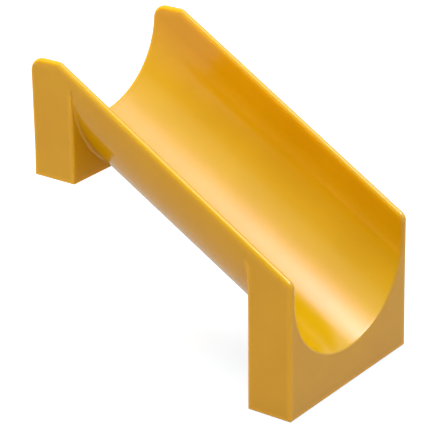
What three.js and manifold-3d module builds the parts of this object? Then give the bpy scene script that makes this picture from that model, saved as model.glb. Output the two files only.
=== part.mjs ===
// Straight chute for a toy building set: a half-pipe trough between two hollow end blocks that push onto studs.
// Millimetres, +Z up. +X runs down the chute, so +Y is on the left of whoever slides down.
// The origin is in the middle of the footprint, in the plane that the lower block stands on.

import * as THREE from 'three';
import { mergeVertices, toCreasedNormals } from 'three/addons/utils/BufferGeometryUtils.js';
import Module from 'manifold-3d';

// Grid of the building set

const studPitch = 8;
const brickHeight = 9.6;
const plateHeight = brickHeight / 3;
const gridPlay = 0.1;
const studRadius = 2.4;
const studHeight = 1.7;
const studClearance = 0.05;
const gripPinRadius = 1.6;

// Footprint and heights, as counts of the grid

const studsAlong = 6;
const studsAcross = 4;
const upperSeatHeight = 3 * brickHeight;
const topHeight = 5 * brickHeight;
const lowRimHeight = 7 * plateHeight;
const length = studsAlong * studPitch - 2 * gridPlay;
const width = studsAcross * studPitch - 2 * gridPlay;
const blockLength = studPitch - 2 * gridPlay;

// Rim, seen from the side

const topFlatLength = 5.4;
const topCornerRadius = 2.1;
const kneeRadius = 1.5;
const lowCornerRadius = 1.5;
const edgeRadius = 0.4;

// Trough: the wall at the rim is measured across, the other sizes straight up and down

const rimWall = 1.3;
const sideWallHeightHigh = 4.1;
const sideWallHeightLow = 3.4;
const skinOverStud = 0.5;
const bedWall = 1.35;
const undersideEdgeRise = 2.85;

// End blocks

const blockWall = 1.5;

// Cuts run this far past what they cut

const overrun = 1;

// Steps of the curves

const archSteps = 40;
const cornerSteps = 8;
const edgeSteps = 4;
const roundSteps = 40;
const creaseAngle = Math.PI / 6;

// Places that follow from the sizes

const highEndX = -length / 2;
const lowEndX = length / 2;
const kneeX = highEndX + topFlatLength;
const upperBlockInnerX = highEndX + blockLength;
const lowerBlockInnerX = lowEndX - blockLength;
const outerHalfWidth = width / 2;
const innerHalfWidth = outerHalfWidth - rimWall;
const socketRadius = studRadius + studClearance;
const socketDepth = studHeight + studClearance;

// The bed's two edges run under the rim, and the side walls stand on them

const bedEdgeHeightKnee = topHeight - sideWallHeightHigh;
const bedEdgeHeightLow = lowRimHeight - sideWallHeightLow;
const bedSlope = (bedEdgeHeightKnee - bedEdgeHeightLow) / (lowEndX - kneeX);
const bedEdgeHeightHigh = bedEdgeHeightLow + bedSlope * length;

// The bed is as deep as the studs under it allow: its skin is thinnest on the low side of the two inner ones

const innerStudY = studPitch / 2;
const innerStudLowX = highEndX + blockLength / 2 + socketRadius;
const bedEdgeHeightOverStud = bedEdgeHeightLow + bedSlope * (lowEndX - innerStudLowX);
const socketTopHeight = upperSeatHeight + socketDepth;
const depthShareOverStud = Math.sqrt(1 - (innerStudY / innerHalfWidth) ** 2);
const bedDepth = (bedEdgeHeightOverStud - socketTopHeight - skinOverStud) / depthShareOverStud;
const floorHeightHigh = bedEdgeHeightHigh - bedDepth;

// The underside turns upright a little above the bed's edges, flush with the blocks' sides

const undersideDepth = bedDepth + bedWall + undersideEdgeRise;
const undersideHeightHigh = floorHeightHigh - bedWall;

const wasm = await Module();
wasm.setup();

// Boolean solids

function solidOf(geometry) {
  const bare = geometry.clone();
  bare.deleteAttribute('normal');
  bare.deleteAttribute('uv');
  const merged = mergeVertices(bare);
  const mesh = new wasm.Mesh({
    numProp: 3,
    vertProperties: new Float32Array(merged.attributes.position.array),
    triVerts: new Uint32Array(merged.index.array),
  });
  mesh.merge();
  return new wasm.Manifold(mesh);
}

function geometryOf(solid) {
  const { vertProperties, triVerts } = solid.getMesh();
  const geometry = new THREE.BufferGeometry();
  geometry.setAttribute('position', new THREE.BufferAttribute(new Float32Array(vertProperties), 3));
  geometry.setIndex(new THREE.BufferAttribute(new Uint32Array(triVerts), 1));
  return toCreasedNormals(geometry, creaseAngle);
}

function boxBetween(low, high) {
  const size = high.clone().sub(low);
  const middle = high.clone().add(low).multiplyScalar(0.5);
  return new THREE.BoxGeometry(size.x, size.y, size.z).translate(middle.x, middle.y, middle.z);
}

function uprightCylinder(radius, bottom, top, x, y) {
  const cylinder = new THREE.CylinderGeometry(radius, radius, top - bottom, roundSteps);
  return cylinder.rotateX(Math.PI / 2).translate(x, y, (bottom + top) / 2);
}

// Side profile: everything under the rim line, across the full width

function corner(x, z, radius) {
  return { place: new THREE.Vector2(x, z), radius };
}

function roundedCornerPoints(before, { place, radius }, after) {
  if (radius === 0) {
    return [place];
  }
  const back = before.clone().sub(place).normalize();
  const on = after.clone().sub(place).normalize();
  const halfAngle = Math.acos(back.dot(on)) / 2;
  const centre = back.clone().add(on).normalize().multiplyScalar(radius / Math.sin(halfAngle)).add(place);
  const first = back.clone().multiplyScalar(radius / Math.tan(halfAngle)).add(place).sub(centre);
  const last = on.clone().multiplyScalar(radius / Math.tan(halfAngle)).add(place).sub(centre);
  const sweep = Math.atan2(first.cross(last), first.dot(last));
  return Array.from({ length: cornerSteps + 1 }, (_, step) => {
    const angle = (sweep * step) / cornerSteps;
    return first.clone().rotateAround(new THREE.Vector2(), angle).add(centre);
  });
}

function sideProfile() {
  const corners = [
    corner(highEndX, -overrun, 0),
    corner(lowEndX, -overrun, 0),
    corner(lowEndX, lowRimHeight, lowCornerRadius),
    corner(kneeX, topHeight, kneeRadius),
    corner(highEndX, topHeight, topCornerRadius),
  ];
  const points = corners.flatMap((here, index) => {
    const before = corners.at(index - 1).place;
    const after = corners[(index + 1) % corners.length].place;
    return roundedCornerPoints(before, here, after);
  });
  const geometry = new THREE.ExtrudeGeometry(new THREE.Shape(points), {
    depth: width - 2 * edgeRadius,
    bevelThickness: edgeRadius,
    bevelSize: edgeRadius,
    bevelOffset: -edgeRadius,
    bevelSegments: edgeSteps,
  });
  return geometry.rotateX(Math.PI / 2).translate(0, width / 2 - edgeRadius, 0);
}

// Trough section: a half ellipse with upright sides above it, run down the slope

function alongSlope(geometry) {
  const shear = new THREE.Matrix4();
  shear.set(1, 0, 0, 0, 0, 1, 0, 0, -bedSlope, 0, 1, bedSlope * highEndX, 0, 0, 0, 1);
  return geometry.applyMatrix4(shear);
}

function halfPipe(halfWidth, depth, bottomHeight) {
  const edgeHeight = bottomHeight + depth;
  const openTop = topHeight + length;
  const points = [new THREE.Vector2(halfWidth, openTop), new THREE.Vector2(-halfWidth, openTop)];
  for (let step = 0; step <= archSteps; step += 1) {
    const angle = (Math.PI * step) / archSteps;
    const across = -halfWidth * Math.cos(angle);
    points.push(new THREE.Vector2(across, edgeHeight - depth * Math.sin(angle)));
  }
  const run = length + 2 * overrun;
  const geometry = new THREE.ExtrudeGeometry(new THREE.Shape(points), { depth: run, bevelEnabled: false });
  const axes = new THREE.Matrix4().makeBasis(
    new THREE.Vector3(0, 1, 0),
    new THREE.Vector3(0, 0, 1),
    new THREE.Vector3(1, 0, 0),
  );
  return alongSlope(geometry.applyMatrix4(axes).translate(highEndX - overrun, 0, 0));
}

function undersideHeight(x, y) {
  const reach = Math.min(Math.abs(y) / outerHalfWidth, 1);
  const edgeHeight = undersideHeightHigh + undersideDepth - bedSlope * (x - highEndX);
  return edgeHeight - undersideDepth * Math.sqrt(1 - reach * reach);
}

const belowRim = solidOf(sideProfile());
const channel = solidOf(halfPipe(innerHalfWidth, bedDepth, floorHeightHigh));
const troughOutside = solidOf(halfPipe(outerHalfWidth, undersideDepth, undersideHeightHigh));

function slabAlongX(fromX, toX, bottom) {
  const low = new THREE.Vector3(fromX, -width, bottom);
  const high = new THREE.Vector3(toX, width, topHeight + overrun);
  return solidOf(boxBetween(low, high));
}

// Trough between the blocks: the bed, and a side wall on each side of it

const troughRun = troughOutside
  .subtract(channel)
  .intersect(belowRim)
  .intersect(slabAlongX(upperBlockInnerX, lowerBlockInnerX, -overrun));

const bedRegion = solidOf(
  alongSlope(
    boxBetween(
      new THREE.Vector3(highEndX - overrun, -width, -topHeight),
      new THREE.Vector3(lowEndX + overrun, width, bedEdgeHeightHigh),
    ),
  ),
);

const wallPair = troughRun.subtract(bedRegion);

function wallOnSide(side) {
  const low = new THREE.Vector3(highEndX, Math.min(0, side * width), 0);
  const high = new THREE.Vector3(lowEndX, Math.max(0, side * width), topHeight + overrun);
  return wallPair.intersect(solidOf(boxBetween(low, high)));
}

// End blocks: hollow from below, with the trough's own wall as their roof

function rowPlaces(count) {
  return Array.from({ length: count }, (_, index) => (index - (count - 1) / 2) * studPitch);
}

const studPlaces = rowPlaces(studsAcross);
const pinPlaces = rowPlaces(studsAcross - 1);

function pinTop(centreX, pinY) {
  const nearMiddle = Math.max(Math.abs(pinY) - gripPinRadius, 0);
  return undersideHeight(centreX + gripPinRadius, nearMiddle);
}

function endBlock(fromX, seatHeight) {
  const toX = fromX + blockLength;
  const centreX = (fromX + toX) / 2;
  const hollowHalfWidth = outerHalfWidth - blockWall;
  const hollow = solidOf(
    boxBetween(
      new THREE.Vector3(fromX + blockWall, -hollowHalfWidth, seatHeight - overrun),
      new THREE.Vector3(toX - blockWall, hollowHalfWidth, topHeight + overrun),
    ),
  );
  let block = belowRim.intersect(slabAlongX(fromX, toX, seatHeight)).subtract(hollow.subtract(troughOutside));
  for (const studY of studPlaces) {
    const socketTop = seatHeight + socketDepth;
    const socket = uprightCylinder(socketRadius, seatHeight - overrun, socketTop, centreX, studY);
    block = block.subtract(solidOf(socket));
  }
  for (const pinY of pinPlaces) {
    const rootTop = undersideHeight(centreX - gripPinRadius, Math.abs(pinY) + gripPinRadius) + overrun;
    const root = uprightCylinder(gripPinRadius, pinTop(centreX, pinY), rootTop, centreX, pinY);
    block = block.add(solidOf(root));
  }
  return block.subtract(channel);
}

// Grip pins: they stand between the studs and hold them

function gripPin(fromX, seatHeight, pinY) {
  const centreX = fromX + blockLength / 2;
  return uprightCylinder(gripPinRadius, 0, pinTop(centreX, pinY) - seatHeight, 0, 0);
}

// Scene graph

function mouldedPlastic() {
  return new THREE.MeshStandardMaterial({ color: 0xdc9f2b, roughness: 0.22, metalness: 0 });
}

function namedMesh(name, geometry) {
  const mesh = new THREE.Mesh(geometry, mouldedPlastic());
  mesh.name = name;
  return mesh;
}

const chute = new THREE.Group();
chute.add(namedMesh('chute_bed', geometryOf(troughRun.intersect(bedRegion))));
chute.add(namedMesh('left_side_wall', geometryOf(wallOnSide(1))));
chute.add(namedMesh('right_side_wall', geometryOf(wallOnSide(-1))));

const blocks = [
  { end: 'upper', fromX: highEndX, seatHeight: upperSeatHeight },
  { end: 'lower', fromX: lowerBlockInnerX, seatHeight: 0 },
];

for (const { end, fromX, seatHeight } of blocks) {
  chute.add(namedMesh(`${end}_end_block`, geometryOf(endBlock(fromX, seatHeight))));
  pinPlaces.forEach((pinY, index) => {
    const pin = namedMesh(`${end}_grip_pin_${index + 1}`, gripPin(fromX, seatHeight, pinY));
    pin.position.set(fromX + blockLength / 2, pinY, seatHeight);
    chute.add(pin);
  });
}

export default chute;
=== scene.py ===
"""Looks of a moulded slide for a toy building set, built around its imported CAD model.

Metres, in the CAD frame: +X runs down the slide, +Y is on the left of whoever slides down, +Z is up.
The real thing is one moulding. Its skin is made here in pieces that meet edge to edge, with the same
surface direction on both sides of each seam, so that no seam catches the light.
"""

import math

import bpy
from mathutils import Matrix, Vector


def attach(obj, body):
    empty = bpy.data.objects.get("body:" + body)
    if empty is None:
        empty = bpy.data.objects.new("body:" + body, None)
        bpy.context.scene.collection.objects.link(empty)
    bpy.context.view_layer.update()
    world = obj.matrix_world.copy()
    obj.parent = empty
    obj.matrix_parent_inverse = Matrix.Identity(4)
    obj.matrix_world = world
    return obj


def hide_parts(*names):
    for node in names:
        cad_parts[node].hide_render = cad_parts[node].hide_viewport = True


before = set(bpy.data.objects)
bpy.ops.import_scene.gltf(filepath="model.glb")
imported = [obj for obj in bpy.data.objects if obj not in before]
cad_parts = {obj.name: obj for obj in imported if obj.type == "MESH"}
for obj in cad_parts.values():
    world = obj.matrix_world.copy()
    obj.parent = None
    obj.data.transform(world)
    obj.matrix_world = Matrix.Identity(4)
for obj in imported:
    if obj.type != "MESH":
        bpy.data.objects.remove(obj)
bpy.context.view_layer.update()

# Sizes of the moulding, in millimetres

MM = 0.001

STUD_PITCH = 8.0
BRICK_HEIGHT = 9.6
PLATE_HEIGHT = BRICK_HEIGHT / 3
GRID_PLAY = 0.1
STUD_RADIUS = 2.4
STUD_HEIGHT = 1.7
STUD_CLEARANCE = 0.05
PIN_RADIUS = 1.6
STUDS_ACROSS = 4

HALF_LENGTH = 3 * STUD_PITCH - GRID_PLAY
HALF_WIDTH = 2 * STUD_PITCH - GRID_PLAY
BLOCK_LENGTH = STUD_PITCH - 2 * GRID_PLAY
HIGH_SEAT = 3 * BRICK_HEIGHT
LOW_SEAT = 0.0
TOP = 5 * BRICK_HEIGHT
LOW_RIM = 7 * PLATE_HEIGHT

TOP_FLAT_LENGTH = 5.4
TOP_CORNER_RADIUS = 2.1
KNEE_RADIUS = 1.5
LOW_CORNER_RADIUS = 1.5
RIM_WALL = 1.3
BLOCK_WALL = 1.5
BED_WALL = 1.35
SIDE_WALL_HEIGHT_HIGH = 4.1
SIDE_WALL_HEIGHT_LOW = 3.4
BED_DEPTH = 12.78
UNDERSIDE_EDGE_RISE = 2.85

# Roundings left by the mould

EDGE_RADIUS = 0.42
RIM_RADIUS = 0.6
FOOT_RADIUS = 0.2
FILLET_RADIUS = 0.4
PIN_CHAMFER = 0.15

# Places that follow

KNEE_X = -HALF_LENGTH + TOP_FLAT_LENGTH
RIM_SLOPE = math.atan2(TOP - LOW_RIM, HALF_LENGTH - KNEE_X)
INNER_HALF_WIDTH = HALF_WIDTH - RIM_WALL
HIGH_FACE_X = -HALF_LENGTH + BLOCK_LENGTH
LOW_FACE_X = HALF_LENGTH - BLOCK_LENGTH
BED_EDGE_KNEE = TOP - SIDE_WALL_HEIGHT_HIGH
BED_EDGE_LOW = LOW_RIM - SIDE_WALL_HEIGHT_LOW
BED_SLOPE = (BED_EDGE_KNEE - BED_EDGE_LOW) / (HALF_LENGTH - KNEE_X)
UNDERSIDE_DEPTH = BED_DEPTH + BED_WALL + UNDERSIDE_EDGE_RISE

# The trough's own pieces stop this far from the blocks' inner faces, where the fillets have run out

FILLET_RUN = 0.8
HIGH_SEAM_X = HIGH_FACE_X + FILLET_RUN
LOW_SEAM_X = LOW_FACE_X - FILLET_RUN

# Steps of the curves

CORNER_STEPS = 12
ROUND_STEPS = 5
BED_STEPS = 48
EDGE_STEPS = 4
FOOT_STEPS = 4
PIN_STEPS = 48
CUTTER_STEPS = 64
CREASE = math.radians(30)
THIRDS = (1 / 3, 2 / 3)

# Points nearer than this are one, and they are rounded to as many decimals
SAME_PLACE = 1e-4
PLACE_DECIMALS = 4
# A length or radius below this is none
NO_LENGTH = 1e-6
# A rounding takes up at most this share of a narrow face
NARROW_SHARE = 0.45
# Cutters start this far outside the foot that they open
CUTTER_OVERRUN = 1.0
# Two directions are alike when their dot product is above this
ALIKE = 0.95
# A made facing is 1 long, and a corner that comes from a cut has a shorter one or none
MADE_LENGTH = 0.5
# A pin's rings lie at -0.5, 0 and 0.5 of its height, and this limit tells them apart
PIN_RING_LIMIT = 0.25

LEFT = Vector((0, 1, 0))
UP = Vector((0, 0, 1))
DOWN_SLIDE = Vector((1, 0, 0))


def bed_edge(x):
    """Height of the bed's two edges, where the side walls stand on them."""
    return BED_EDGE_LOW + BED_SLOPE * (HALF_LENGTH - x)


def underside_height(x, y):
    """Height of the trough's underside over a place on the ground."""
    reach = min(abs(y) / HALF_WIDTH, 1)
    return bed_edge(x) + UNDERSIDE_EDGE_RISE - UNDERSIDE_DEPTH * math.sqrt(1 - reach * reach)


# Skin of the moulding. A corner is a point with the direction that the surface faces there.
# Only the left half is worked out. The right half is its mirror image.


def channel_corner(x, angle):
    """Inside of the trough: angle 0 is the bed's edge, a quarter turn is the middle of the floor."""
    across, down = math.cos(angle), math.sin(angle)
    point = Vector((x, INNER_HALF_WIDTH * across, bed_edge(x) - BED_DEPTH * down))
    facing = Vector((BED_SLOPE * down / BED_DEPTH, -across / INNER_HALF_WIDTH, down / BED_DEPTH))
    return point, facing.normalized()


def underside_corner(x, angle):
    """Outside of the trough, with the same angles."""
    across, down = math.cos(angle), math.sin(angle)
    edge = bed_edge(x) + UNDERSIDE_EDGE_RISE
    point = Vector((x, HALF_WIDTH * across, edge - UNDERSIDE_DEPTH * down))
    facing = Vector((-BED_SLOPE * down / UNDERSIDE_DEPTH, across / HALF_WIDTH, -down / UNDERSIDE_DEPTH))
    return point, facing.normalized()


def rounded_edge(point, first, second, radius, convex=True):
    """Corners round an edge, from the face that looks along first to the one that looks along second."""
    side = 1 if convex else -1
    into_first = -side * (second - second.dot(first) * first)
    into_second = -side * (first - first.dot(second) * second)
    if into_first.length < NO_LENGTH or radius < NO_LENGTH:
        return [(point.copy(), first.slerp(second, step / ROUND_STEPS)) for step in range(ROUND_STEPS + 1)]
    into_first.normalize()
    into_second.normalize()
    half_angle = into_first.angle(into_second) / 2
    centre = point + (into_first + into_second).normalized() * (radius / math.sin(half_angle))
    corners = []
    for step in range(ROUND_STEPS + 1):
        facing = first.slerp(second, step / ROUND_STEPS)
        corners.append((centre + side * radius * facing, facing))
    return corners


def rim_arc(centre_x, centre_z, radius, start, end):
    """Points on the rim's sharp line round one of its corners, with the way it faces."""
    places = []
    for step in range(CORNER_STEPS + 1):
        angle = start + (end - start) * step / CORNER_STEPS
        facing = Vector((math.cos(angle), 0, math.sin(angle)))
        places.append((Vector((centre_x, 0, centre_z)) + radius * facing, facing))
    return places


def rim_radius(facing):
    """Rounding of the rim's two edges: full where the rim faces up, and the blocks' own where it ends."""
    return EDGE_RADIUS + (RIM_RADIUS - EDGE_RADIUS) * facing.z


def rim_slope_place(wall_x):
    """Place on the sloping rim above the wall's point wall_x."""
    facing = Vector((math.sin(RIM_SLOPE), 0, math.cos(RIM_SLOPE)))
    x = wall_x + rim_radius(facing) * facing.x
    return Vector((x, 0, TOP - (x - KNEE_X) * math.tan(RIM_SLOPE))), facing


SLOPE_FACING = math.pi / 2 - RIM_SLOPE
KNEE_RUN = KNEE_RADIUS * math.tan(RIM_SLOPE / 2)
LOW_RUN = LOW_CORNER_RADIUS * math.tan(SLOPE_FACING / 2)

high_corner = rim_arc(
    -HALF_LENGTH + TOP_CORNER_RADIUS, TOP - TOP_CORNER_RADIUS, TOP_CORNER_RADIUS, math.pi, math.pi / 2
)
knee = rim_arc(KNEE_X - KNEE_RUN, TOP - KNEE_RADIUS, KNEE_RADIUS, math.pi / 2, SLOPE_FACING)
low_corner = rim_arc(
    HALF_LENGTH - LOW_CORNER_RADIUS, LOW_RIM - LOW_RUN, LOW_CORNER_RADIUS, SLOPE_FACING, 0
)
low_turn, low_turn_facing = low_corner[0]
LOW_TURN_X = low_turn.x - rim_radius(low_turn_facing) * low_turn_facing.x

# Angles of the columns that run along the underside and the channel. In a block, the underside's columns
# from TURN on come from its foot, and the ones before it from its side.

cut_angle = math.asin(UNDERSIDE_EDGE_RISE / UNDERSIDE_DEPTH)
under_angles = [cut_angle + (math.pi / 2 - cut_angle) * step / BED_STEPS for step in range(BED_STEPS + 1)]
edge_angles = [cut_angle * step / EDGE_STEPS for step in range(EDGE_STEPS)]
channel_angles = [math.pi / 2 * step / BED_STEPS for step in range(BED_STEPS + 1)]
TURN = next(step for step, angle in enumerate(under_angles) if angle > math.pi / 4)


def block_shape(seat, face_x):
    """Places on a block's own outline, from the middle of its foot to the trough's edge on its side.

    Each is (y, z, way it faces, angle of the underside's column that it belongs to, radius of its edge)."""
    angles = list(under_angles)
    # Where the underside dips below the foot, one column runs through the place where the two cross
    crossing = bed_edge(face_x) + UNDERSIDE_EDGE_RISE - seat
    if crossing < UNDERSIDE_DEPTH:
        meet = math.asin(crossing / UNDERSIDE_DEPTH)
        nearest = min(range(len(angles)), key=lambda step: abs(angles[step] - meet))
        angles[nearest] = meet
    places = []
    for angle in reversed(angles[TURN:]):
        places.append((HALF_WIDTH * math.cos(angle), seat, -UP, angle, FOOT_RADIUS))
    turn_point = underside_corner(face_x, angles[TURN])[0]
    flat_end = HALF_WIDTH - FOOT_RADIUS
    for share in THIRDS:
        y = turn_point.y + (flat_end - turn_point.y) * share
        places.append((y, seat, -UP, angles[TURN], FOOT_RADIUS))
    for step in range(FOOT_STEPS + 1):
        turn = math.pi / 2 * step / FOOT_STEPS
        facing = Vector((0, math.sin(turn), -math.cos(turn)))
        y = flat_end + FOOT_RADIUS * facing.y
        z = seat + FOOT_RADIUS + FOOT_RADIUS * facing.z
        places.append((y, z, facing, angles[TURN], FOOT_RADIUS))
    foot_top = seat + FOOT_RADIUS
    for share in THIRDS:
        z = foot_top + (turn_point.z - foot_top) * share
        radius = FOOT_RADIUS + (EDGE_RADIUS - FOOT_RADIUS) * share
        places.append((HALF_WIDTH, z, LEFT, angles[TURN], radius))
    for angle in list(reversed(angles[:TURN + 1])) + list(reversed(edge_angles)):
        z = underside_corner(face_x, angle)[0].z
        places.append((HALF_WIDTH, z, LEFT, angle, EDGE_RADIUS))
    return places


def wall_top(place):
    """Top of the flat outer wall below a place on the rim."""
    point, facing = place
    radius = rim_radius(facing)
    return point.x - radius * facing.x, point.z - radius * facing.z


def block_outside(shape, seat, face_x, x, top):
    """Corners on a block's outline at x. Its side is stretched to reach the rim there."""
    foot_top = seat + FOOT_RADIUS
    face_top = wall_top(rim_slope_place(face_x))[1]
    stretch = (top - foot_top) / (face_top - foot_top)
    corners = []
    for y, z, facing, _, _ in shape:
        height = foot_top + (z - foot_top) * stretch if z > foot_top else z
        corners.append((Vector((x, y, height)), facing))
    return corners


def trough_outside(x):
    """Corners on the underside at x, as many as a block's outline has."""
    angles = list(reversed(under_angles[TURN:]))
    angles += [under_angles[TURN]] * (len(THIRDS) + FOOT_STEPS + 1 + len(THIRDS))
    angles += list(reversed(under_angles[:TURN + 1])) + list(reversed(edge_angles))
    return [underside_corner(x, angle) for angle in angles]


def height_angle(x, z):
    """Angle of the channel at a height: 0 at the bed's edge, and on the upright wall above it too."""
    return math.asin(max((bed_edge(x) - z) / BED_DEPTH, 0))


def column_angles(first):
    """Angles of the channel's columns, from the first one to the middle of the floor."""
    return [first + (math.pi / 2 - first) * regular / (math.pi / 2) for regular in channel_angles]


def channel_angle(point):
    """Angle of the channel at a point on it."""
    down = (bed_edge(point.x) - point.z) / BED_DEPTH
    return math.atan2(max(down, 0), max(point.y, 0) / INNER_HALF_WIDTH)


def rim_over(place):
    """Corners from the outer wall's top over the rim to the inner wall's top."""
    point, facing = place
    outer_edge = Vector((point.x, HALF_WIDTH, point.z))
    inner_edge, inner_facing = channel_corner(point.x, height_angle(point.x, point.z))
    inner_edge.z = point.z
    radius = rim_radius(facing)
    outer = rounded_edge(outer_edge, LEFT, facing, radius)
    return outer + rounded_edge(inner_edge, facing, inner_facing, radius)


def rim_and_channel(place, end=None):
    """Corners from the outer wall's top over the rim and down the channel to the middle of its floor.

    Near an end, the channel's columns lean over to meet the rounded edge of the end face:
    end is (share of the way there, where the turn starts, corners on the channel's side of that edge)."""
    if end and end[0] == 1:
        return rim_over(place) + end[2]
    corners = rim_over(place)
    last = corners[-1]
    wall_x = last[0].x
    low = height_angle(wall_x, last[0].z)
    for step, angle in enumerate(column_angles(low)):
        x = wall_x
        if end:
            share, turn_x, reached = end
            x = turn_x + (reached[step][0].x - turn_x) * share
            angle += (channel_angle(reached[step][0]) - angle) * share
        if step == 0 and low > 0:
            corners.append(last)
        else:
            corners.append(channel_corner(x, angle))
    return corners


def end_edges(shape, seat, face_x, end_x, corner_place):
    """Rounded edges of an end face: (those of its outline, those of the channel), a list for each column."""
    outward = DOWN_SLIDE if end_x > 0 else -DOWN_SLIDE
    top = corner_place[0].z
    outline = []
    for (point, facing), place in zip(block_outside(shape, seat, face_x, end_x, top), shape):
        outline.append(rounded_edge(point, facing, outward, place[4]))
    outline.append(rounded_edge(Vector((end_x, HALF_WIDTH, top)), LEFT, outward, EDGE_RADIUS))
    low = height_angle(end_x, top)
    first, first_facing = channel_corner(end_x, low)
    first.z = top
    channel = [rounded_edge(first, outward, first_facing, EDGE_RADIUS)]
    for angle in column_angles(low):
        edge, facing = channel_corner(end_x, angle)
        channel.append(rounded_edge(edge, outward, facing, EDGE_RADIUS))
    return outline, channel


def face_rows(shape, seat, face_x, towards):
    """Rows that carry a block's outline round the edge of its inner face and over to the underside.

    They run from the block to the trough. Where the underside dips below the foot, the face looks back."""
    columns = []
    for y, z, facing, angle, radius in shape:
        edge = Vector((face_x, y, z))
        under, under_facing = underside_corner(face_x, angle)
        gap = (edge - under).length
        sunk = facing == -UP and under.z < seat
        looks = DOWN_SLIDE * towards * (-1 if sunk else 1)
        if gap < SAME_PLACE:
            flush = [(under.copy(), facing)] * (ROUND_STEPS + 1)
            columns.append(flush + [(under.copy(), under_facing)] * (ROUND_STEPS + 1))
            continue
        outer = rounded_edge(edge, facing, looks, min(radius, NARROW_SHARE * gap), convex=not sunk)
        # At one radius, a fillet takes up less of the face where the face and the underside meet more bluntly
        side = 1 if sunk else -1
        along = (looks - looks.dot(under_facing) * under_facing).normalized() * -side
        across = (under_facing - under_facing.dot(looks) * looks).normalized() * -side
        wedge = math.tan(along.angle(across) / 2)
        fillet = min(FILLET_RADIUS, NARROW_SHARE * gap * wedge)
        inner = rounded_edge(under, looks, under_facing, fillet, convex=sunk)
        columns.append(outer + inner)
    return [[column[row] for column in columns] for row in range(2 * ROUND_STEPS + 2)]


class Skin:
    """Faces of one piece, each a list of corners, which go round it the way that makes it face outwards."""

    def __init__(self):
        self.faces = []

    def face(self, corners):
        """Adds a face, without the corners that coincide with the one before."""
        before = corners[-1:] + corners[:-1]
        kept = [corner for corner, last in zip(corners, before) if (corner[0] - last[0]).length > SAME_PLACE]
        if len(kept) > 2:
            self.faces.append([(point.copy(), facing.copy()) for point, facing in kept])

    def grid(self, rows):
        """Adds the faces between rows of as many corners each."""
        for row, following in zip(rows, rows[1:]):
            for column in range(len(row) - 1):
                self.face([row[column], following[column], following[column + 1], row[column + 1]])

    def flat(self, points, facing):
        """Adds one flat face."""
        self.face([(point, facing) for point in points])

    def mirrored(self):
        """The same skin on the other side of the slide's middle plane."""
        other = Skin()
        for corners in self.faces:
            flipped = [(Vector((p.x, -p.y, p.z)), Vector((f.x, -f.y, f.z))) for p, f in reversed(corners)]
            other.faces.append(flipped)
        return other

    def joined(self, other):
        """This skin and the other one together."""
        both = Skin()
        both.faces = self.faces + other.faces
        return both

    def mesh(self, name):
        """Mesh in metres. Its attribute made_facing keeps the way that each corner faces."""
        places, loops, facings = {}, [], []
        for corners in self.faces:
            loop = []
            for point, facing in corners:
                key = tuple(round(value, PLACE_DECIMALS) for value in point)
                loop.append(places.setdefault(key, len(places)))
                facings.append(facing)
            loops.append(loop)
        mesh = bpy.data.meshes.new(name)
        mesh.from_pydata([Vector(key) * MM for key in places], [], loops)
        held = mesh.attributes.new("made_facing", "FLOAT_VECTOR", "CORNER")
        held.data.foreach_set("vector", [value for facing in facings for value in facing])
        return mesh


def block_skin(seat, face_x, end_x, seam_x, corner_rows, straight_rows):
    """Left half of a block's skin, in rows from its end face to the seam with the trough."""
    towards = 1 if seam_x > face_x else -1
    shape = block_shape(seat, face_x)
    end_place = corner_rows[0]
    outline, channel = end_edges(shape, seat, face_x, end_x, end_place)
    reached = [column[-1] for column in channel[1:]]
    turn_x, end_wall_x = wall_top(corner_rows[-1])[0], wall_top(end_place)[0]
    rows = [[column[0] for column in outline[:-1]] + rim_and_channel(end_place, (1, turn_x, reached))]
    for place in corner_rows[1:]:
        x, top = wall_top(place)
        share = (x - turn_x) / (end_wall_x - turn_x)
        outside = block_outside(shape, seat, face_x, x, top)
        rows.append(outside + rim_and_channel(place, (share, turn_x, reached)))
    for place in straight_rows:
        x, top = wall_top(place)
        rows.append(block_outside(shape, seat, face_x, x, top) + rim_and_channel(place))
    face_place = rim_slope_place(face_x)
    for outside in face_rows(shape, seat, face_x, towards):
        rows.append(outside + rim_and_channel(face_place))
    seam = trough_outside(seam_x) + rim_and_channel(rim_slope_place(seam_x))
    rows.append(seam)
    skin = Skin()
    skin.grid(rows)
    skin.grid([[column[step] for column in outline] for step in range(ROUND_STEPS, -1, -1)])
    skin.grid([[column[step] for column in channel] for step in range(ROUND_STEPS + 1)])
    outward = DOWN_SLIDE * -towards
    rim = [column[ROUND_STEPS][0] for column in outline] + [column[0][0] for column in channel]
    skin.flat(rim, outward)
    skin.flat([point for point, _ in reversed(seam)], -outward)
    if towards > 0:
        skin.faces = [list(reversed(corners)) for corners in skin.faces]
    return skin


def wall_skin():
    """Skin of the left side wall between the seams, from the bed's edge over the rim and back."""
    rows, cuts = [], []
    for x in (HIGH_SEAM_X, LOW_SEAM_X):
        outside = [underside_corner(x, angle) for angle in [cut_angle] + list(reversed(edge_angles))]
        rows.append(outside + rim_over(rim_slope_place(x)) + [channel_corner(x, 0)])
        cuts.append([rows[-1][-1][0], rows[-1][0][0]])
    skin = Skin()
    skin.grid(rows[::-1])
    below = Vector((-BED_SLOPE, 0, -1)).normalized()
    skin.grid([[(point, below) for point in cut] for cut in cuts[::-1]])
    skin.flat([point for point, _ in reversed(rows[0])], -DOWN_SLIDE)
    skin.flat([point for point, _ in rows[1]], DOWN_SLIDE)
    return skin


# Hollows of the blocks


def object_of(data):
    """Object in the scene that shows this mesh, lamp or camera, under its name."""
    made = bpy.data.objects.new(data.name, data)
    bpy.context.scene.collection.objects.link(made)
    return made


def keep_result(piece, modifier):
    """Makes the modifier's result the piece's own mesh, and takes the modifier off."""
    evaluated = piece.evaluated_get(bpy.context.evaluated_depsgraph_get())
    result = bpy.data.meshes.new_from_object(evaluated)
    piece.modifiers.remove(modifier)
    piece.data = result


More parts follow.
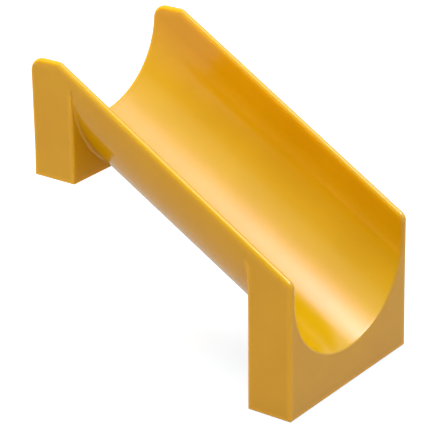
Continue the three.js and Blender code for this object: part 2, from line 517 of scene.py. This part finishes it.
def closed_mesh(name, rings):
    """Mesh of one or more closed tubes, each a pair of rings with as many points."""
    points, faces = [], []
    for first, second in rings:
        start, count = len(points), len(first)
        points += [Vector(point) * MM for point in list(first) + list(second)]
        for here in range(count):
            following = (here + 1) % count
            faces.append((start + here, start + following, start + count + following, start + count + here))
        faces.append(tuple(range(start + count - 1, start - 1, -1)))
        faces.append(tuple(range(start + count, start + 2 * count)))
    mesh = bpy.data.meshes.new(name)
    mesh.from_pydata(points, [], faces)
    return mesh


def hollow_mesh(seat, middle_x):
    """Space between a block's walls, up to the trough's underside."""
    half_width = HALF_WIDTH - BLOCK_WALL
    half_length = BLOCK_LENGTH / 2 - BLOCK_WALL
    rings = []
    for x in (middle_x - half_length, middle_x + half_length):
        ring = [(x, -half_width, seat - CUTTER_OVERRUN), (x, half_width, seat - CUTTER_OVERRUN)]
        for step in range(CUTTER_STEPS + 1):
            y = half_width * math.cos(math.pi * step / CUTTER_STEPS)
            ring.append((x, y, underside_height(x, y)))
        rings.append(ring)
    return closed_mesh("hollow", [rings])


def cylinder_rings(x, y, radius, bottom, top):
    """Two rings of an upright cylinder. Bottom and top are heights, or work one out for a place."""
    rings = []
    for height in (bottom, top):
        ring = []
        for step in range(CUTTER_STEPS):
            turn = 2 * math.pi * step / CUTTER_STEPS
            place = x + radius * math.cos(turn), y + radius * math.sin(turn)
            ring.append((*place, height(*place) if callable(height) else height))
        rings.append(ring)
    return rings


def row_places(count):
    """Places of a row of studs or pins across the slide."""
    return [(index - (count - 1) / 2) * STUD_PITCH for index in range(count)]


def pin_top(middle_x, y):
    """Lowest point of the trough's underside over a grip pin."""
    return underside_height(middle_x + PIN_RADIUS, max(abs(y) - PIN_RADIUS, 0))


def cut_or_join(piece, other_mesh, operation):
    """Takes another mesh's space out of the piece, or joins it to the piece."""
    other = object_of(other_mesh)
    boolean = piece.modifiers.new(operation, "BOOLEAN")
    boolean.operation = operation
    boolean.solver = "EXACT"
    boolean.object = other
    keep_result(piece, boolean)
    bpy.data.objects.remove(other)


def root_top(x, y):
    """Height inside the trough's wall where a pin's root ends."""
    return underside_height(x, y) + BED_WALL / 2


def hollow_out(piece, seat, middle_x):
    """Opens a block from below, with room for the studs and a root for each grip pin."""
    cut_or_join(piece, hollow_mesh(seat, middle_x), "DIFFERENCE")
    socket_radius = STUD_RADIUS + STUD_CLEARANCE
    socket_foot = seat - CUTTER_OVERRUN
    socket_top = seat + STUD_HEIGHT + STUD_CLEARANCE
    studs = []
    for y in row_places(STUDS_ACROSS):
        studs.append(cylinder_rings(middle_x, y, socket_radius, socket_foot, socket_top))
    cut_or_join(piece, closed_mesh("studs", studs), "DIFFERENCE")
    roots = []
    for y in row_places(STUDS_ACROSS - 1):
        roots.append(cylinder_rings(middle_x, y, PIN_RADIUS, pin_top(middle_x, y), root_top))
    cut_or_join(piece, closed_mesh("roots", roots), "UNION")


def set_facings(mesh, facing_of=None):
    """Smooth shading with a crease at sharp edges, and the made facings wherever a corner has one."""
    mesh.shade_smooth()
    mesh.set_sharp_from_angle(angle=CREASE)
    facings = [Vector(normal.vector) for normal in mesh.corner_normals]
    held = mesh.attributes.get("made_facing")
    if held:
        for index, value in enumerate(held.data):
            if value.vector.length > MADE_LENGTH:
                facings[index] = value.vector.normalized()
        mesh.attributes.remove(held)
    if facing_of:
        for polygon in mesh.polygons:
            for index in polygon.loop_indices:
                point = mesh.vertices[mesh.loops[index].vertex_index].co / MM
                facings[index] = facing_of(point, polygon.normal)
    mesh.normals_split_custom_set(facings)


# Nodes

MATH = "ShaderNodeMath"
VECTOR_MATH = "ShaderNodeVectorMath"
COMBINE = "ShaderNodeCombineXYZ"
SEPARATE = "ShaderNodeSeparateXYZ"
MAP_RANGE = "ShaderNodeMapRange"
NOISE = "ShaderNodeTexNoise"


def add_node(tree, kind, sockets=(), **settings):
    """Adds a node with its settings. Its sockets come by name or in order, each with a value or a link.

    A node that is given for a socket stands for its first output."""
    node = tree.nodes.new(kind)
    for name, value in settings.items():
        setattr(node, name, value)
    named = sockets if isinstance(sockets, dict) else dict(enumerate(sockets))
    for name, value in named.items():
        source = value.outputs[0] if isinstance(value, bpy.types.Node) else value
        if isinstance(source, bpy.types.NodeSocket):
            tree.links.new(source, node.inputs[name])
        else:
            node.inputs[name].default_value = source
    return node


def empty_tree(owner):
    """Node tree of a material or world, with nothing in it yet."""
    owner.use_nodes = True
    owner.node_tree.nodes.clear()
    return owner.node_tree


# Geometry Nodes: the bed of the trough, and the rows of grip pins


def new_tree(name, inputs):
    """Empty Geometry Nodes tree with named inputs: ints become integers, the rest floats."""
    tree = bpy.data.node_groups.new(name, "GeometryNodeTree")
    tree.interface.new_socket("Geometry", in_out="INPUT", socket_type="NodeSocketGeometry")
    for label, value in inputs.items():
        kind = "NodeSocketInt" if isinstance(value, int) else "NodeSocketFloat"
        tree.interface.new_socket(label, in_out="INPUT", socket_type=kind)
    tree.interface.new_socket("Geometry", in_out="OUTPUT", socket_type="NodeSocketGeometry")
    return tree, add_node(tree, "NodeGroupInput").outputs


def end_tree(tree, geometry, material):
    """Last nodes of a tree: its instances are made real and get their material."""
    real = add_node(tree, "GeometryNodeRealizeInstances", {"Geometry": geometry})
    painted = add_node(tree, "GeometryNodeSetMaterial", {"Geometry": real, "Material": material})
    add_node(tree, "NodeGroupOutput", {"Geometry": painted})


def run_tree(name, tree, inputs):
    """Plain mesh object made by a tree with these inputs."""
    piece = object_of(bpy.data.meshes.new(name))
    modifier = piece.modifiers.new(name, "NODES")
    modifier.node_group = tree
    for item in tree.interface.items_tree:
        if item.in_out == "INPUT" and item.name in inputs:
            modifier[item.identifier] = inputs[item.name]
    keep_result(piece, modifier)
    return piece


def bed_tree(inputs, material):
    """Half-elliptic bed. Its section runs along the channel and back along the underside, and is swept
    from seam to seam, down the slope."""
    tree, given = new_tree("trough bed", inputs)
    # Points of the section: the channel's, then as many of the underside's, with a share from 0 to 1 each
    steps = given["Steps across"]
    row = add_node(tree, MATH, (steps, 1.0), operation="ADD")
    index = add_node(tree, "GeometryNodeInputIndex")
    back = add_node(tree, MATH, (index, steps), operation="GREATER_THAN")
    skipped = add_node(tree, MATH, (back, row), operation="MULTIPLY")
    column = add_node(tree, MATH, (index, skipped), operation="SUBTRACT")
    share = add_node(tree, MATH, (column, steps), operation="DIVIDE")
    # The channel takes a half turn. The underside takes less, because a half turn would start above the bed.
    inner_angle = add_node(tree, MATH, (share, math.pi), operation="MULTIPLY")
    edge_rise, under_depth = given["Underside edge rise"], given["Underside depth"]
    rise_share = add_node(tree, MATH, (edge_rise, under_depth), operation="DIVIDE")
    cut = add_node(tree, MATH, (rise_share,), operation="ARCSINE")
    both_cuts = add_node(tree, MATH, (cut, 2.0), operation="MULTIPLY")
    sweep = add_node(tree, MATH, (math.pi, both_cuts), operation="SUBTRACT")
    outer_start = add_node(tree, MATH, (math.pi, cut), operation="SUBTRACT")
    swung = add_node(tree, MATH, (sweep, share), operation="MULTIPLY")
    outer_angle = add_node(tree, MATH, (outer_start, swung), operation="SUBTRACT")
    sides = []
    for angle, width, depth, rise in (
        (inner_angle, given["Inner half width"], given["Bed depth"], 0.0),
        (outer_angle, given["Outer half width"], under_depth, edge_rise),
    ):
        cosine = add_node(tree, MATH, (angle,), operation="COSINE")
        across = add_node(tree, MATH, (width, cosine), operation="MULTIPLY")
        sine = add_node(tree, MATH, (angle,), operation="SINE")
        down = add_node(tree, MATH, (depth, sine), operation="MULTIPLY")
        lift = add_node(tree, MATH, (down, rise), operation="SUBTRACT")
        sides.append(add_node(tree, COMBINE, {"X": across, "Y": lift}))
    choice = {"Switch": back, "False": sides[0], "True": sides[1]}
    section = add_node(tree, "GeometryNodeSwitch", choice, input_type="VECTOR")
    count = add_node(tree, MATH, (row, 2.0), operation="MULTIPLY")
    line = add_node(tree, "GeometryNodeMeshLine", {"Count": count})
    placed = add_node(tree, "GeometryNodeSetPosition", {"Geometry": line, "Position": section})
    curve = add_node(tree, "GeometryNodeMeshToCurve", {"Mesh": placed})
    closed = add_node(tree, "GeometryNodeSetSplineCyclic", {"Geometry": curve, "Cyclic": True})
    # The sweep is level at first, and each point then moves to the bed's height at its place along it
    start = add_node(tree, COMBINE, {"X": given["High seam"]})
    end = add_node(tree, COMBINE, {"X": given["Low seam"]})
    path = add_node(tree, "GeometryNodeCurvePrimitiveLine", {"Start": start, "End": end})
    profile = {"Curve": path, "Profile Curve": closed, "Fill Caps": True}
    swept = add_node(tree, "GeometryNodeCurveToMesh", profile)
    place = add_node(tree, "GeometryNodeInputPosition")
    along = add_node(tree, SEPARATE, {"Vector": place}).outputs["X"]
    fall = add_node(tree, MATH, (along, given["Slope"]), operation="MULTIPLY")
    height = add_node(tree, MATH, (given["Edge height in the middle"], fall), operation="SUBTRACT")
    offset = add_node(tree, COMBINE, {"Z": height})
    sloped = add_node(tree, "GeometryNodeSetPosition", {"Geometry": swept, "Offset": offset})
    outward = add_node(tree, "GeometryNodeFlipFaces", {"Mesh": sloped})
    end_tree(tree, outward, material)
    return tree


def pin_tree(inputs, material):
    """Row of grip pins. Each stands on the seat's plane and reaches the trough's underside above it."""
    tree, given = new_tree("grip pin row", inputs)
    pitch, radius, chamfer, seat = (given[name] for name in ("Pitch", "Radius", "Chamfer", "Seat"))
    gaps = add_node(tree, MATH, (given["Count"], 1.0), operation="SUBTRACT")
    half_gaps = add_node(tree, MATH, (gaps, 0.5), operation="MULTIPLY")
    half_row = add_node(tree, MATH, (half_gaps, pitch), operation="MULTIPLY")
    first_y = add_node(tree, MATH, (half_row, -1.0), operation="MULTIPLY")
    start = add_node(tree, COMBINE, {"X": given["Row place"], "Y": first_y, "Z": seat})
    step = add_node(tree, COMBINE, {"Y": pitch})
    row_line = {"Count": given["Count"], "Start Location": start, "Offset": step}
    line = add_node(tree, "GeometryNodeMeshLine", row_line)
    # Height from the seat to the underside's lowest point over the pin
    place = add_node(tree, "GeometryNodeInputPosition")
    y = add_node(tree, SEPARATE, {"Vector": place}).outputs["Y"]
    across = add_node(tree, MATH, (y,), operation="ABSOLUTE")
    near_side = add_node(tree, MATH, (across, radius), operation="SUBTRACT")
    near = add_node(tree, MATH, (near_side, 0.0), operation="MAXIMUM")
    reach = add_node(tree, MATH, (near, given["Outer half width"]), operation="DIVIDE")
    squared = add_node(tree, MATH, (reach, reach), operation="MULTIPLY")
    remainder = add_node(tree, MATH, (1.0, squared), operation="SUBTRACT")
    share = add_node(tree, MATH, (remainder,), operation="SQRT")
    drop = add_node(tree, MATH, (given["Underside depth"], share), operation="MULTIPLY")
    underside = add_node(tree, MATH, (given["Edge height over the pins"], drop), operation="SUBTRACT")
    height = add_node(tree, MATH, (underside, seat), operation="SUBTRACT")
    spots = add_node(tree, "GeometryNodeCaptureAttribute", {"Geometry": line}, domain="POINT")
    spots.capture_items.new("VECTOR", "Spot")
    spots.capture_items.new("FLOAT", "Height")
    tree.links.new(place.outputs[0], spots.inputs["Spot"])
    tree.links.new(height.outputs[0], spots.inputs["Height"])
    # A cylinder 1 m high, with a ring of points at its foot, one in the middle and one at its head
    cylinder = {"Vertices": given["Steps round"], "Side Segments": 2, "Radius": radius, "Depth": 1.0}
    pin = add_node(tree, "GeometryNodeMeshCylinder", cylinder, fill_type="NGON")
    shape = add_node(tree, "GeometryNodeCaptureAttribute", {"Geometry": pin}, domain="POINT")
    shape.capture_items.new("VECTOR", "Shape")
    tree.links.new(place.outputs[0], shape.inputs["Shape"])
    row = add_node(tree, "GeometryNodeInstanceOnPoints", {"Points": spots, "Instance": shape})
    real = add_node(tree, "GeometryNodeRealizeInstances", {"Geometry": row})
    local = add_node(tree, SEPARATE, {"Vector": shape.outputs["Shape"]}).outputs
    foot = add_node(tree, MATH, (local["Z"], -PIN_RING_LIMIT), operation="LESS_THAN")
    head = add_node(tree, MATH, (local["Z"], PIN_RING_LIMIT), operation="GREATER_THAN")
    # The foot's ring is narrower by the chamfer, the middle one moves to the chamfer's top
    chamfer_share = add_node(tree, MATH, (chamfer, radius), operation="DIVIDE")
    narrower = add_node(tree, MATH, (foot, chamfer_share), operation="MULTIPLY")
    slim = add_node(tree, MATH, (1.0, narrower), operation="SUBTRACT")
    above_foot = add_node(tree, MATH, (1.0, foot), operation="SUBTRACT")
    lift = add_node(tree, MATH, (chamfer, above_foot), operation="MULTIPLY")
    rest = add_node(tree, MATH, (spots.outputs["Height"], chamfer), operation="SUBTRACT")
    head_lift = add_node(tree, MATH, (head, rest), operation="MULTIPLY")
    top = add_node(tree, MATH, (lift, head_lift), operation="ADD")
    slim_x = add_node(tree, MATH, (local["X"], slim), operation="MULTIPLY")
    slim_y = add_node(tree, MATH, (local["Y"], slim), operation="MULTIPLY")
    shifted = add_node(tree, COMBINE, {"X": slim_x, "Y": slim_y, "Z": top})
    final = add_node(tree, VECTOR_MATH, (spots.outputs["Spot"], shifted), operation="ADD")
    stood = add_node(tree, "GeometryNodeSetPosition", {"Geometry": real, "Position": final})
    end_tree(tree, stood, material)
    return tree


# Material, with lengths in millimetres

CLOUD_SIZE = 12.0
CLOUD_DETAIL = 2.0
CLOUD_COLOURS = ((0.3, "d8a303"), (0.7, "dda906"))
# Painted glow: the lighter colour that edges get, in place of light shining through the plastic
PAINTED_EDGE_GLOW = "ebb410"
EDGE_GLOW_REACH = 1.0
# For the painted edge glow, the rim counts as nearer to an edge than it is, by this factor
RIM_NEARNESS = 0.6
# This far below its upper end, the underside is as good as flush with the side
FLUSH_HEIGHT = 2.5
OUT_OF_REACH = 100.0
POLISH_SIZE = 1.5
POLISH_DETAIL = 3.0
ROUGHNESS_LOW = 0.15
ROUGHNESS_HIGH = 0.19
WAVE_SIZE = 4.0
WAVE_DETAIL = 1.0
WAVE_DEPTH = 0.03
ABS_IOR = 1.53


def linear(hex_colour):
    """sRGB hex, such as "dda030", as linear RGBA."""
    parts = [int(hex_colour[place:place + 2], 16) / 255 for place in (0, 2, 4)]
    return [part / 12.92 if part <= 0.04045 else ((part + 0.055) / 1.055) ** 2.4 for part in parts] + [1]


def distance_to_edge(tree, place):
    """Millimetres from a point on the skin to the nearest edge of the moulding, which sets where the painted
    edge glow shows.

    A point lies on one of its surfaces, and the edge is where the next one begins. The channel's edges at
    the two ends are left out, because they look no lighter than the rest."""
    scaled = add_node(tree, VECTOR_MATH, {0: place, "Scale": 1 / MM}, operation="SCALE")
    x, y, z = add_node(tree, SEPARATE, {"Vector": scaled}).outputs
    along = add_node(tree, MATH, (x,), operation="ABSOLUTE")
    across = add_node(tree, MATH, (y,), operation="ABSOLUTE")
    end = add_node(tree, MATH, (HALF_LENGTH, along), operation="SUBTRACT")
    side = add_node(tree, MATH, (HALF_WIDTH, across), operation="SUBTRACT")
    # Only the blocks have a foot, so between them it is put out of reach
    high_half = add_node(tree, MATH, (x, 0.0), operation="LESS_THAN")
    seat = add_node(tree, MATH, (high_half, HIGH_SEAT), operation="MULTIPLY")
    above_seat = add_node(tree, MATH, (z, seat), operation="SUBTRACT")
    between = add_node(tree, MATH, (along, LOW_FACE_X - EDGE_RADIUS), operation="LESS_THAN")
    no_foot = add_node(tree, MATH, (between, OUT_OF_REACH), operation="MULTIPLY")
    foot = add_node(tree, MATH, (above_seat, no_foot), operation="ADD")
    # The blocks' inner faces end where the underside comes up flush with the side. Their edges fade there.
    bed = add_node(tree, MATH, (x, -BED_SLOPE, bed_edge(0)), operation="MULTIPLY_ADD")
    flush = add_node(tree, MATH, (bed, UNDERSIDE_EDGE_RISE - FLUSH_HEIGHT), operation="ADD")
    above_flush = add_node(tree, MATH, (z, flush), operation="SUBTRACT")
    faded = add_node(tree, MATH, (above_flush, 0.0), operation="MAXIMUM")
    past_face = add_node(tree, MATH, (along, LOW_FACE_X), operation="SUBTRACT")
    from_face = add_node(tree, MATH, (past_face,), operation="ABSOLUTE")
    inner_face = add_node(tree, MATH, (from_face, faded), operation="ADD")
    # The rims are thin all the way down, so the painted edge glow reaches further down them
    past_knee = add_node(tree, MATH, (x, KNEE_X), operation="SUBTRACT")
    slope_top = add_node(tree, MATH, (past_knee, -math.tan(RIM_SLOPE), TOP), operation="MULTIPLY_ADD")
    rim_height = add_node(tree, MATH, (slope_top, TOP), operation="MINIMUM")
    below_rim = add_node(tree, MATH, (rim_height, z), operation="SUBTRACT")
    nearest = add_node(tree, MATH, (below_rim, RIM_NEARNESS), operation="MULTIPLY")
    for pair in (end, side), (end, foot), (side, foot), (inner_face, side), (inner_face, foot):
        first, second = (add_node(tree, MATH, (face,), operation="ABSOLUTE") for face in pair)
        apart = add_node(tree, MATH, (first, second), operation="MAXIMUM")
        nearest = add_node(tree, MATH, (nearest, apart), operation="MINIMUM")
    return nearest


def moulded_abs():
    """Injection-moulded ABS from a polished steel mould: one even warm yellow-orange all through, with a
    painted glow near its edges for the light that thin plastic lets through, under a hard gloss that is
    broken only by the faint waviness that such a mould leaves."""
    material = bpy.data.materials.new("ABS, injection moulded, glossy yellow-orange")
    tree = empty_tree(material)
    place = add_node(tree, "ShaderNodeTexCoord").outputs["Object"]
    # Uneven cooling gives a barely lighter and darker cloudiness, 12 mm across
    clouds = {"Vector": place, "Scale": 1 / (CLOUD_SIZE * MM), "Detail": CLOUD_DETAIL}
    body = add_node(tree, "ShaderNodeValToRGB", {"Fac": add_node(tree, NOISE, clouds)})
    for element, (position, colour) in zip(body.color_ramp.elements, CLOUD_COLOURS):
        element.position = position
        element.color = linear(colour)
    # Painted glow: within 1 mm of an edge the colour is lighter, painted in for the light that the thin
    # plastic lets through there
    edge = distance_to_edge(tree, place)
    fade = {"Value": edge, "From Min": 0.0, "From Max": EDGE_GLOW_REACH, "To Min": 1.0, "To Max": 0.0}
    lighter = add_node(tree, MAP_RANGE, fade, interpolation_type="SMOOTHSTEP")
    mix = {"Factor": lighter, "A": body, "B": linear(PAINTED_EDGE_GLOW)}
    colour = add_node(tree, "ShaderNodeMix", mix, data_type="RGBA").outputs["Result"]
    # The polish of the mould: the gloss changes a little from place to place, 1.5 mm apart
    patches = {"Vector": place, "Scale": 1 / (POLISH_SIZE * MM), "Detail": POLISH_DETAIL}
    polish = {"Value": add_node(tree, NOISE, patches), "To Min": ROUGHNESS_LOW, "To Max": ROUGHNESS_HIGH}
    roughness = add_node(tree, MAP_RANGE, polish)
    # The skin's waviness, 4 mm from crest to crest and a few hundredths deep
    waves = {"Vector": place, "Scale": 1 / (WAVE_SIZE * MM), "Detail": WAVE_DETAIL}
    relief = {"Height": add_node(tree, NOISE, waves), "Strength": 1.0, "Distance": WAVE_DEPTH * MM}
    bump = add_node(tree, "ShaderNodeBump", relief)
    finish = {"Base Color": colour, "Roughness": roughness, "Normal": bump, "IOR": ABS_IOR}
    shader = add_node(tree, "ShaderNodeBsdfPrincipled", finish)
    add_node(tree, "ShaderNodeOutputMaterial", {"Surface": shader})
    return material


abs_plastic = moulded_abs()

# Pieces

HIGH_MIDDLE_X = (HIGH_FACE_X - HALF_LENGTH) / 2
LOW_MIDDLE_X = (LOW_FACE_X + HALF_LENGTH) / 2

high_skin = block_skin(HIGH_SEAT, HIGH_FACE_X, -HALF_LENGTH, HIGH_SEAM_X, high_corner, knee)
low_middle = rim_slope_place((LOW_FACE_X + LOW_TURN_X) / 2)
low_skin = block_skin(LOW_SEAT, LOW_FACE_X, HALF_LENGTH, LOW_SEAM_X, low_corner[::-1], [low_middle])
left_skin = wall_skin()

high_block = object_of(high_skin.joined(high_skin.mirrored()).mesh("high_block"))
hollow_out(high_block, HIGH_SEAT, HIGH_MIDDLE_X)
low_block = object_of(low_skin.joined(low_skin.mirrored()).mesh("low_block"))
hollow_out(low_block, LOW_SEAT, LOW_MIDDLE_X)
left_wall = object_of(left_skin.mesh("left_wall"))
right_wall = object_of(left_skin.mirrored().mesh("right_wall"))

bed_inputs = {
    "Inner half width": INNER_HALF_WIDTH * MM,
    "Bed depth": BED_DEPTH * MM,
    "Outer half width": HALF_WIDTH * MM,
    "Underside depth": UNDERSIDE_DEPTH * MM,
    "Underside edge rise": UNDERSIDE_EDGE_RISE * MM,
    "Edge height in the middle": bed_edge(0) * MM,
    "Slope": BED_SLOPE,
    "High seam": HIGH_SEAM_X * MM,
    "Low seam": LOW_SEAM_X * MM,
    "Steps across": 2 * BED_STEPS,
}
trough_bed = run_tree("trough_bed", bed_tree(bed_inputs, abs_plastic), bed_inputs)


def bed_facing(point, face_normal):
    """The way a corner of the bed faces: like the channel or the underside, or flat at a seam."""
    angle = channel_angle(Vector((point.x, abs(point.y), point.z)))
    down = bed_edge(point.x) + UNDERSIDE_EDGE_RISE - point.z
    under_angle = math.atan2(down / UNDERSIDE_DEPTH, abs(point.y) / HALF_WIDTH)
    for facing in (channel_corner(point.x, angle)[1], underside_corner(point.x, under_angle)[1]):
        facing.y = math.copysign(facing.y, facing.y * point.y)
        if facing.dot(face_normal) > ALIKE:
            return facing
    return face_normal


def pin_inputs(seat, middle_x):
    """Inputs of the pins' tree for one block."""
    return {
        "Count": STUDS_ACROSS - 1,
        "Steps round": PIN_STEPS,
        "Pitch": STUD_PITCH * MM,
        "Radius": PIN_RADIUS * MM,
        "Chamfer": PIN_CHAMFER * MM,
        "Row place": middle_x * MM,
        "Seat": seat * MM,
        "Edge height over the pins": (bed_edge(middle_x + PIN_RADIUS) + UNDERSIDE_EDGE_RISE) * MM,
        "Underside depth": UNDERSIDE_DEPTH * MM,
        "Outer half width": HALF_WIDTH * MM,
    }


high_inputs = pin_inputs(HIGH_SEAT, HIGH_MIDDLE_X)
low_inputs = pin_inputs(LOW_SEAT, LOW_MIDDLE_X)
pins = pin_tree(high_inputs, abs_plastic)
high_pins = run_tree("high_grip_pins", pins, high_inputs)
low_pins = run_tree("low_grip_pins", pins, low_inputs)

stands_for = {
    high_block: ["upper_end_block"],
    low_block: ["lower_end_block"],
    left_wall: ["left_side_wall"],
    right_wall: ["right_side_wall"],
    trough_bed: ["chute_bed"],
    high_pins: ["upper_grip_pin_1", "upper_grip_pin_2", "upper_grip_pin_3"],
    low_pins: ["lower_grip_pin_1", "lower_grip_pin_2", "lower_grip_pin_3"],
}
for piece, nodes in stands_for.items():
    set_facings(piece.data, bed_facing if piece is trough_bed else None)
    piece.data.materials.clear()
    piece.data.materials.append(abs_plastic)
    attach(piece, "root")
    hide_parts(*nodes)

# Floor, light and camera. Lengths are in metres, and a brightness of 1 is white.

FLOOR_SIZE = 4.0
PAPER_COLOUR = "aaaaa6"
PAPER_GLOW_COLOUR = "e6f3ff"
PAPER_GLOW = 0.84
PAPER_IN_GLOSS = 0.69

ROOM_COLOUR = "ffdbb8"
ROOM_LIGHT = 2.1
ROOM_FALL = 2.0
PANEL_DIRECTION = (0.563, 0.468, 0.681)
# The panel's lower edge runs from none of its light to all of it between these heights of a direction
PANEL_EDGE_START = 0.59
PANEL_EDGE_END = 0.79
PANEL_COLOUR = "ffdaff"
PANEL_BRIGHTNESS = 30.0
PANEL_FADE = 21.5
HALO_BRIGHTNESS = 1.6
HALO_FADE = 2.1
WHITE = "ffffff"

CAMERA_PLACE = (0.19593, -0.26621, 0.16478)
CAMERA_TURN_DEGREES = (66.677, 0.755, 36.121)
CAMERA_LENS_MM = 191.7
CAMERA_SENSOR_MM = 36


def ray_kinds(tree):
    """(1 for camera rays, 1 for glossy or transmission rays)."""
    rays = add_node(tree, "ShaderNodeLightPath").outputs
    gloss_or_glass = (rays["Is Glossy Ray"], rays["Is Transmission Ray"])
    return rays["Is Camera Ray"], add_node(tree, MATH, gloss_or_glass, operation="MAXIMUM")


def white_paper():
    """Matt white paper, on which nothing shows but the slide's faint shadow."""
    material = bpy.data.materials.new("white paper sweep")
    tree = empty_tree(material)
    to_camera, in_gloss = ray_kinds(tree)
    matt = add_node(tree, "ShaderNodeBsdfDiffuse", {"Color": linear(PAPER_COLOUR)})
    strength = add_node(tree, MATH, (to_camera, PAPER_GLOW), operation="MULTIPLY")
    glow = add_node(tree, "ShaderNodeEmission", {"Color": linear(PAPER_GLOW_COLOUR), "Strength": strength})
    seen = add_node(tree, "ShaderNodeAddShader", (matt, glow))
    # In the gloss the paper looks evenly pale
    mirrored = add_node(tree, "ShaderNodeEmission", {"Color": linear(WHITE), "Strength": PAPER_IN_GLOSS})
    both = add_node(tree, "ShaderNodeMixShader", (in_gloss, seen, mirrored))
    add_node(tree, "ShaderNodeOutputMaterial", {"Surface": both})
    return material


def white_studio():
    """Room round the slide: white to the camera, a light panel to the gloss, and warm walls as its light."""
    world = bpy.data.worlds.new("white studio")
    tree = empty_tree(world)
    to_camera, in_gloss = ray_kinds(tree)
    direction = add_node(tree, "ShaderNodeTexCoord").outputs["Generated"]
    upward = add_node(tree, SEPARATE, {"Vector": direction}).outputs["Z"]
    # The gloss shows one large soft light panel, up beyond the low end, which is cut off at its lower edge,
    # and the wide halo that it throws on the walls and the ceiling
    lower_edge = {"Value": upward, "From Min": PANEL_EDGE_START, "From Max": PANEL_EDGE_END}
    above_edge = add_node(tree, MAP_RANGE, lower_edge, interpolation_type="SMOOTHSTEP")
    panel_middle = Vector(PANEL_DIRECTION).normalized()
    towards_panel = add_node(tree, VECTOR_MATH, (direction, panel_middle), operation="DOT_PRODUCT")
    off_middle = add_node(tree, MATH, (towards_panel.outputs["Value"], 1.0), operation="SUBTRACT")
    parts = []
    for colour, brightness, fade, limit in (
        (PANEL_COLOUR, PANEL_BRIGHTNESS, PANEL_FADE, above_edge),
        (WHITE, HALO_BRIGHTNESS, HALO_FADE, 1.0),
    ):
        away = add_node(tree, MATH, (off_middle, fade), operation="MULTIPLY")
        falloff = add_node(tree, MATH, (away,), operation="EXPONENT")
        level = add_node(tree, MATH, (falloff, brightness), operation="MULTIPLY")
        shown = add_node(tree, MATH, (level, limit), operation="MULTIPLY")
        parts.append(add_node(tree, "ShaderNodeBackground", {"Color": linear(colour), "Strength": shown}))
    mirrored = add_node(tree, "ShaderNodeAddShader", parts)
    # The walls of the room throw a warm light, and its ceiling hardly any
    below_top = add_node(tree, MATH, (1.0, upward), operation="SUBTRACT")
    sideways = add_node(tree, MATH, (below_top, ROOM_FALL), operation="POWER")
    room_level = add_node(tree, MATH, (sideways, ROOM_LIGHT), operation="MULTIPLY")
    walls = add_node(tree, "ShaderNodeBackground", {"Color": linear(ROOM_COLOUR), "Strength": room_level})
    unseen = add_node(tree, "ShaderNodeMixShader", (in_gloss, walls, mirrored))
    white = add_node(tree, "ShaderNodeBackground", {"Color": linear(WHITE)})
    sky = add_node(tree, "ShaderNodeMixShader", (to_camera, unseen, white))
    add_node(tree, "ShaderNodeOutputWorld", {"Surface": sky})
    return world


def softbox(name, direction, distance, width, height, brightness, colour):
    """Area lamp that looks at the slide. Its brightness is how bright its face looks."""
    data = bpy.data.lights.new(name, "AREA")
    data.shape = "RECTANGLE"
    data.size = width
    data.size_y = height
    data.energy = brightness * math.pi * width * height
    data.color = linear(colour)[:3]
    lamp = object_of(data)
    towards = Vector(direction).normalized()
    lamp.location = Vector((0, 0, TOP * MM / 2)) + distance * towards
    lamp.rotation_euler = towards.to_track_quat("Z", "Y").to_euler()
    lamp.visible_camera = False
    return lamp


half_floor = FLOOR_SIZE / 2
floor_mesh = bpy.data.meshes.new("floor")
floor_corners = [(x * half_floor, y * half_floor, 0) for x, y in ((-1, -1), (1, -1), (1, 1), (-1, 1))]
floor_mesh.from_pydata(floor_corners, [], [(0, 1, 2, 3)])
floor_mesh.materials.append(white_paper())
floor = object_of(floor_mesh)

bpy.context.scene.world = white_studio()

overhead = softbox(
    "overhead softbox", direction=(0.0, 0.0, 1.0), distance=2.0,
    width=1.77, height=1.77, brightness=4.5, colour="deffee",
)
overhead.visible_glossy = False
behind = softbox(
    "softbox behind the high end", direction=(-1.0, 0.0, 0.9), distance=0.25,
    width=0.177, height=0.177, brightness=5.6, colour="ffe7cc",
)
behind.visible_glossy = False
# A white card by the high end, near enough to show hardly anywhere but in the gloss there
card = softbox(
    "white card", direction=(-0.345, -0.79, 0.505), distance=0.27,
    width=0.14, height=0.3, brightness=0.62, colour=WHITE,
)
card.visible_diffuse = False

camera_data = bpy.data.cameras.new("camera")
camera_data.sensor_width = CAMERA_SENSOR_MM
camera_data.lens = CAMERA_LENS_MM
camera = object_of(camera_data)
camera.location = CAMERA_PLACE
camera.rotation_euler = [math.radians(angle) for angle in CAMERA_TURN_DEGREES]
bpy.context.scene.camera = camera

bpy.context.scene.view_settings.view_transform = "Standard"

bpy.context.view_layer.update()
